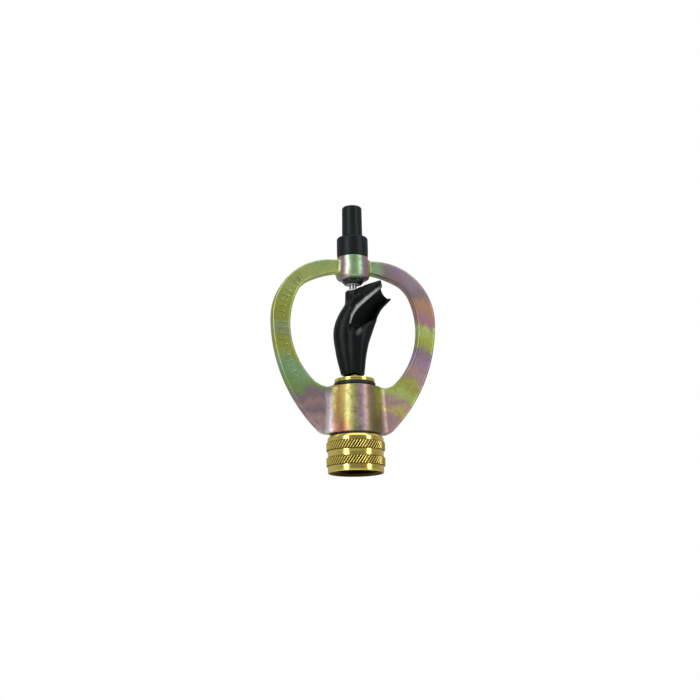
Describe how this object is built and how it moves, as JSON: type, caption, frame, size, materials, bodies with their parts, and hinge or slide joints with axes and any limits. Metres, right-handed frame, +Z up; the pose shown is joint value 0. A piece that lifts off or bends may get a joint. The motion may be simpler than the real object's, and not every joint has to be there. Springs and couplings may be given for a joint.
{
  "type": "whirling sprinkler",
  "caption": "Whirling garden sprinkler: a cast ring yoke around a curved spinning rotor, on a knurled brass swivel hose coupling.",
  "frame": {"origin": "centre of the hose coupling's bottom face, on the sprinkler's axis", "axes": "+Z up along the sprinkler's axis, X across the ring with the rotor's mouth towards +X at rest, -Y the ring's front"},
  "size_m": [0.0892, 0.031, 0.1449],
  "materials": {
    "chromated_casting": "zinc casting with an iridescent yellow chromate finish, satin",
    "turned_brass": "turned and polished brass",
    "hose_rubber": "matte black rubber",
    "seal_rubber": "matte black rubber",
    "black_acetal": "smooth black acetal",
    "white_bearing": "smooth white bearing plastic",
    "cap_plastic": "satin black moulded plastic",
    "rotor_plastic": "glossy black moulded plastic",
    "spindle_steel": "ground stainless steel"
  },
  "bodies": {
    "frame": {"yoke": "chromated_casting", "swivel_tail": "turned_brass", "tail_washer": "seal_rubber", "jet_nozzle": "turned_brass", "jet_washer": "seal_rubber", "bearing_sleeve": "black_acetal", "lower_bush": "white_bearing", "upper_bush": "white_bearing", "head_washer": "white_bearing", "thrust_pad": "white_bearing", "top_cap": "cap_plastic"},
    "coupling": {"coupling_nut": "turned_brass", "hose_washer": "hose_rubber"},
    "thrust_washer": {"hub_washer": "black_acetal"},
    "rotor": {"rotor": "rotor_plastic", "rotor_spindle": "spindle_steel"}
  },
  "joints": [
    {"name": "coupling_swivel", "type": "hinge", "parent": "frame", "child": "coupling", "pos_m": [0, 0, 0.0194], "axis": [0, 0, 1], "continuous": true},
    {"name": "rotor_lift", "type": "slide", "parent": "frame", "child": "thrust_washer", "axis": [0, 0, 1], "range_m": [0, 0.0012]},
    {"name": "rotor_spin", "type": "hinge", "parent": "thrust_washer", "child": "rotor", "pos_m": [0, 0, 0.0975], "axis": [0, 0, 1], "continuous": true}
  ]
}
